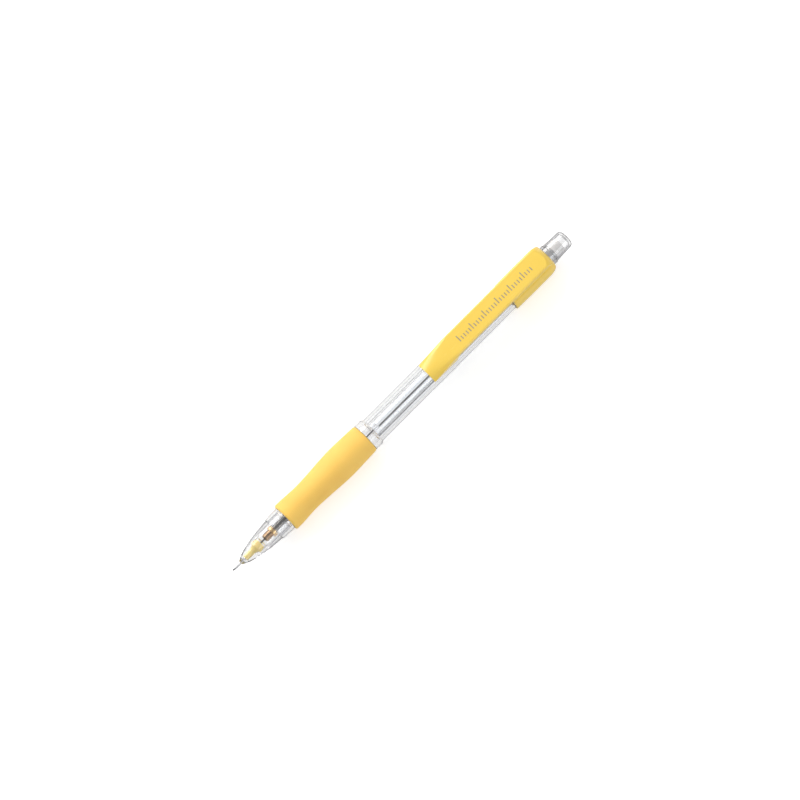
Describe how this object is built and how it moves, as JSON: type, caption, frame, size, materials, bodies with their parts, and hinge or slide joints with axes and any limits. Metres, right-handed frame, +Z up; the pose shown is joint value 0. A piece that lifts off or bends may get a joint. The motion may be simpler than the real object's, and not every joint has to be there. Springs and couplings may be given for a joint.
{
  "type": "mechanical pencil",
  "caption": "Push-button mechanical pencil with a clear barrel and nose, contoured yellow rubber grip, yellow moulded clip ring and a clear button over an eraser.",
  "frame": {"origin": "on the surface the pencil lies on, below the middle of its length and width", "axes": "+X along the pencil from its point to its button, +Z up with the clip on top"},
  "size_m": [0.144, 0.0106, 0.0122],
  "materials": {
    "clear_plastic": "clear, polished, colourless",
    "yellow_plastic": "opaque warm yellow, glossy with faint mould texture",
    "yellow_rubber": "soft satin rubber, warm yellow",
    "brass": "turned, bright",
    "steel": "drawn tube, polished",
    "spring_steel": "drawn wire",
    "dark_rubber": "matt black",
    "eraser_rubber": "matt white",
    "graphite": "dark grey with a slight sheen"
  },
  "bodies": {
    "body": {"barrel": "clear_plastic", "rubber_grip": "yellow_rubber", "clutch_sleeve": "clear_plastic", "clip_cap": "yellow_plastic", "return_spring": "spring_steel"},
    "clip": {"clip_arm": "yellow_plastic"},
    "nose": {"nose_cone": "clear_plastic", "sleeve_holder": "yellow_plastic", "lead_pipe": "steel", "lead_retainer": "dark_rubber"},
    "pusher": {"lead_tube": "clear_plastic", "chuck_connector": "clear_plastic", "chuck_stem": "brass"},
    "jaw_1": {"chuck_jaw_1": "brass"},
    "jaw_2": {"chuck_jaw_2": "brass"},
    "jaw_3": {"chuck_jaw_3": "brass"},
    "ring": {"clutch_ring": "brass"},
    "button": {"button_cap": "clear_plastic"},
    "rubber": {"eraser": "eraser_rubber"},
    "lead": {"lead_in_use": "graphite"},
    "spare": {"spare_lead": "graphite"}
  },
  "joints": [
    {"name": "button_push", "type": "slide", "parent": "body", "child": "pusher", "axis": [-1, 0, 0], "range_m": [0, 0.0028], "stiffness_N_per_m": 300, "springref_m": -0.004, "deforming": ["return_spring"]},
    {"name": "jaw_1_open", "type": "hinge", "parent": "pusher", "child": "jaw_1", "pos_m": [-0.0485, -0.00095, 0.00581], "axis": [0, 0.5, 0.866], "range_deg": [0, 0.95]},
    {"name": "jaw_2_open", "type": "hinge", "parent": "pusher", "child": "jaw_2", "pos_m": [-0.0485, 0, 0.00415], "axis": [0, -1, 0], "range_deg": [0, 0.95]},
    {"name": "jaw_3_open", "type": "hinge", "parent": "pusher", "child": "jaw_3", "pos_m": [-0.0485, 0.00095, 0.00581], "axis": [0, 0.5, -0.866], "range_deg": [0, 0.95]},
    {"name": "clutch_ring_slide", "type": "slide", "parent": "body", "child": "ring", "axis": [-1, 0, 0], "range_m": [0, 0.00065]},
    {"name": "button_pull", "type": "slide", "parent": "pusher", "child": "button", "axis": [1, 0, 0], "range_m": [0, 0.022]},
    {"name": "eraser_pull", "type": "slide", "parent": "pusher", "child": "rubber", "axis": [1, 0, 0], "range_m": [0, 0.0072]},
    {"name": "nose_unscrew", "type": "slide", "parent": "body", "child": "nose", "axis": [-1, 0, 0], "range_m": [0, 0.012]},
    {"name": "clip_flex", "type": "hinge", "parent": "body", "child": "clip", "pos_m": [0.04575, 0, 0.01215], "axis": [0, 1, 0], "range_deg": [0, 4], "stiffness_Nm_per_rad": 0.5, "springref_deg": -2.86},
    {"name": "lead_feed", "type": "slide", "parent": "pusher", "child": "lead", "axis": [-1, 0, 0], "range_m": [-0.003, 0.006]},
    {"name": "spare_lead_slide", "type": "slide", "parent": "pusher", "child": "spare", "axis": [1, 0, 0], "range_m": [-0.0005, 0.0085]}
  ],
  "couplings": [
    {"joint": "jaw_1_open", "follows": "button_push", "rad_per_m": 5.6},
    {"joint": "jaw_2_open", "follows": "button_push", "rad_per_m": 5.6},
    {"joint": "jaw_3_open", "follows": "button_push", "rad_per_m": 5.6},
    {"joint": "clutch_ring_slide", "follows": "button_push", "ratio": 0.22},
    {"joint": "eraser_pull", "follows": "button_pull", "ratio": 0.32}
  ]
}
